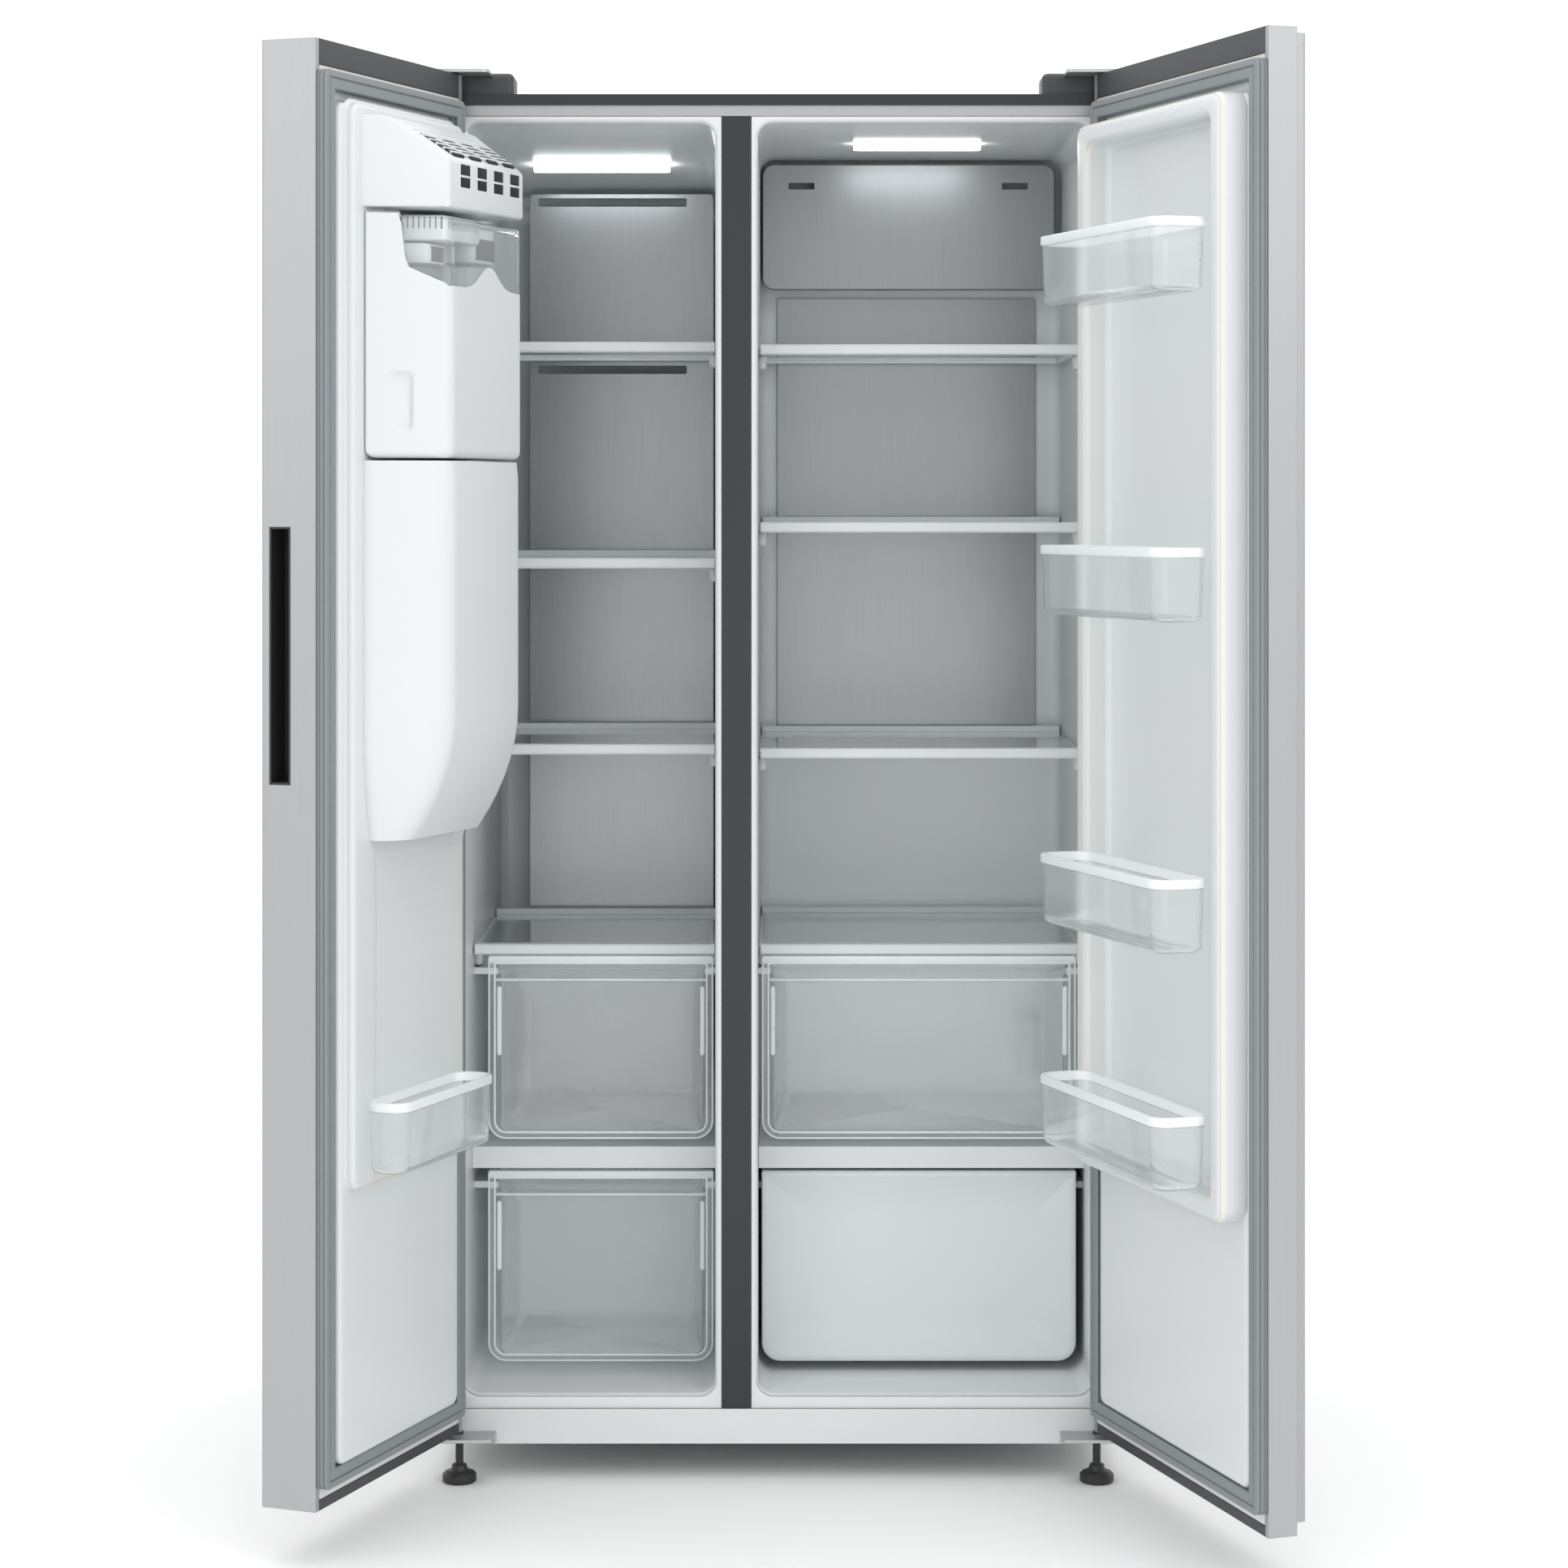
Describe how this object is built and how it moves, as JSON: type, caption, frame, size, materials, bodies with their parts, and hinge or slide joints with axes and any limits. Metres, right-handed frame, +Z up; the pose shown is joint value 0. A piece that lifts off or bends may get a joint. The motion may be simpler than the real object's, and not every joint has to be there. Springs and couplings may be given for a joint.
{
  "type": "side by side refrigerator",
  "caption": "Side by side refrigerator with freezer and fridge doors that swing, an in-door ice maker, glass shelves, sliding drawers, door bins, levelling feet and rear rollers.",
  "frame": {"origin": "on the floor, at the centre of the footprint with both doors standing open as stored", "axes": "+Z up, -Y towards the front where the doors are, +X to the fridge side; the longest extent is Z"},
  "size_m": [1.2105, 1.1536, 1.79],
  "materials": {
    "silver_paint": "satin silver paint on steel",
    "foam": "rigid foam",
    "white_liner": "glossy vacuum formed white",
    "dark_trim": "dark grey moulded plastic",
    "grey_trim": "dark grey painted strip",
    "light_grey": "light grey moulded plastic",
    "galvanised": "zinc plated steel",
    "black_steel": "black painted steel",
    "fins": "bare aluminium",
    "back_metal": "brushed metallic panel",
    "lamp": "translucent white lens",
    "shelf_glass": "toughened glass",
    "white_trim": "white moulded plastic",
    "clear_plastic": "clear moulded polystyrene",
    "grey_drawer": "opaque light grey plastic",
    "black_plastic": "black moulded plastic",
    "zinc": "zinc plated",
    "seal_grey": "soft grey vinyl",
    "valve_blue": "blue moulded nylon",
    "panel_black": "glossy black panel",
    "tray_blue": "pale moulded plastic"
  },
  "bodies": {
    "cabinet": {"cabinet_shell": "silver_paint", "insulation": "foam", "freezer_liner": "white_liner", "fridge_liner": "white_liner", "top_rail": "grey_trim", "mullion_cover": "grey_trim", "base_panel": "light_grey", "machine_cover": "galvanised", "compressor": "black_steel", "condenser": "fins", "evaporator": "fins", "freezer_back_panel": "back_metal", "fridge_air_panel": "back_metal", "fridge_back_panel": "back_metal", "cavity_lamps": "lamp", "freezer_shelf_glass": "shelf_glass", "freezer_shelf_trims": "white_trim", "fridge_shelf_glass": "shelf_glass", "fridge_shelf_trims": "white_trim", "drawer_rails": "white_trim", "top_hinges": "galvanised", "hinge_covers": "dark_trim", "bottom_hinges": "galvanised", "hinge_screws": "zinc", "roller_brackets": "galvanised", "water_valve": "valve_blue", "cord_gland": "black_plastic"},
    "condenser_fan": {"condenser_fan": "black_plastic"},
    "evaporator_fan": {"evaporator_fan": "black_plastic"},
    "freezer_drawer_upper": {"freezer_drawer_upper": "clear_plastic"},
    "freezer_drawer_lower": {"freezer_drawer_lower": "clear_plastic"},
    "crisper_drawer": {"crisper_drawer": "clear_plastic"},
    "chill_drawer": {"chill_drawer": "grey_drawer"},
    "left_front_foot": {"left_front_foot": "black_plastic"},
    "right_front_foot": {"right_front_foot": "black_plastic"},
    "left_rear_roller": {"left_rear_roller": "black_plastic"},
    "right_rear_roller": {"right_rear_roller": "black_plastic"},
    "freezer_door": {"freezer_door_skin": "silver_paint", "freezer_door_foam": "foam", "freezer_door_caps": "dark_trim", "freezer_door_liner": "white_liner", "freezer_door_seal": "seal_grey", "handle_pocket": "black_plastic", "dispenser_frame": "dark_trim", "control_panel": "panel_black", "drip_tray": "dark_trim", "dispenser_duct": "white_liner", "ice_maker_housing": "white_liner", "freezer_door_bin": "clear_plastic"},
    "dispenser_paddle": {"dispenser_paddle": "light_grey"},
    "ice_tray": {"ice_tray": "tray_blue"},
    "ice_bucket": {"ice_bucket": "white_trim"},
    "fridge_door": {"fridge_door_skin": "silver_paint", "fridge_door_foam": "foam", "fridge_door_caps": "dark_trim", "fridge_door_liner": "white_liner", "fridge_door_seal": "seal_grey", "upper_door_bins": "clear_plastic", "lower_door_bins": "clear_plastic"}
  },
  "joints": [
    {"name": "freezer_door_hinge", "type": "hinge", "parent": "cabinet", "child": "freezer_door", "pos_m": [-0.424, -0.113, 0.9], "axis": [0, 0, -1], "range_deg": [-110.8, 14.2]},
    {"name": "fridge_door_hinge", "type": "hinge", "parent": "cabinet", "child": "fridge_door", "pos_m": [0.424, -0.113, 0.9], "axis": [0, 0, 1], "range_deg": [-108.6, 16.4]},
    {"name": "freezer_upper_drawer_slide", "type": "slide", "parent": "cabinet", "child": "freezer_drawer_upper", "axis": [0, -1, 0], "range_m": [0, 0.21]},
    {"name": "freezer_lower_drawer_slide", "type": "slide", "parent": "cabinet", "child": "freezer_drawer_lower", "axis": [0, -1, 0], "range_m": [0, 0.26]},
    {"name": "crisper_slide", "type": "slide", "parent": "cabinet", "child": "crisper_drawer", "axis": [0, -1, 0], "range_m": [0, 0.17]},
    {"name": "chill_drawer_slide", "type": "slide", "parent": "cabinet", "child": "chill_drawer", "axis": [0, -1, 0], "range_m": [0, 0.26]},
    {"name": "left_foot_screw", "type": "hinge", "parent": "cabinet", "child": "left_front_foot", "pos_m": [-0.404, -0.0915, 0.03], "axis": [0, 0, 1], "continuous": true},
    {"name": "right_foot_screw", "type": "hinge", "parent": "cabinet", "child": "right_front_foot", "pos_m": [0.404, -0.0915, 0.03], "axis": [0, 0, 1], "continuous": true},
    {"name": "left_roller_spin", "type": "hinge", "parent": "cabinet", "child": "left_rear_roller", "pos_m": [-0.38, 0.481, 0.02], "axis": [1, 0, 0], "continuous": true},
    {"name": "right_roller_spin", "type": "hinge", "parent": "cabinet", "child": "right_rear_roller", "pos_m": [0.38, 0.481, 0.02], "axis": [1, 0, 0], "continuous": true},
    {"name": "condenser_fan_spin", "type": "hinge", "parent": "cabinet", "child": "condenser_fan", "pos_m": [0.0532, 0.466, 0.1525], "axis": [1, 0, 0], "continuous": true},
    {"name": "evaporator_fan_spin", "type": "hinge", "parent": "cabinet", "child": "evaporator_fan", "pos_m": [-0.2395, 0.435, 1.3619], "axis": [0, 1, 0], "continuous": true},
    {"name": "dispenser_paddle_pivot", "type": "hinge", "parent": "freezer_door", "child": "dispenser_paddle", "pos_m": [-0.50466, -0.27464, 1.237], "axis": [-0.3551, -0.9348, 0], "range_deg": [0, 10], "stiffness_Nm_per_rad": 0.06},
    {"name": "ice_tray_twist", "type": "hinge", "parent": "freezer_door", "child": "ice_tray", "pos_m": [-0.40051, -0.31447, 1.615], "axis": [-0.3551, -0.9348, 0], "range_deg": [0, 160]},
    {"name": "ice_bucket_slide", "type": "slide", "parent": "freezer_door", "child": "ice_bucket", "axis": [0.9348, -0.3551, 0], "range_m": [0, 0.12]}
  ]
}
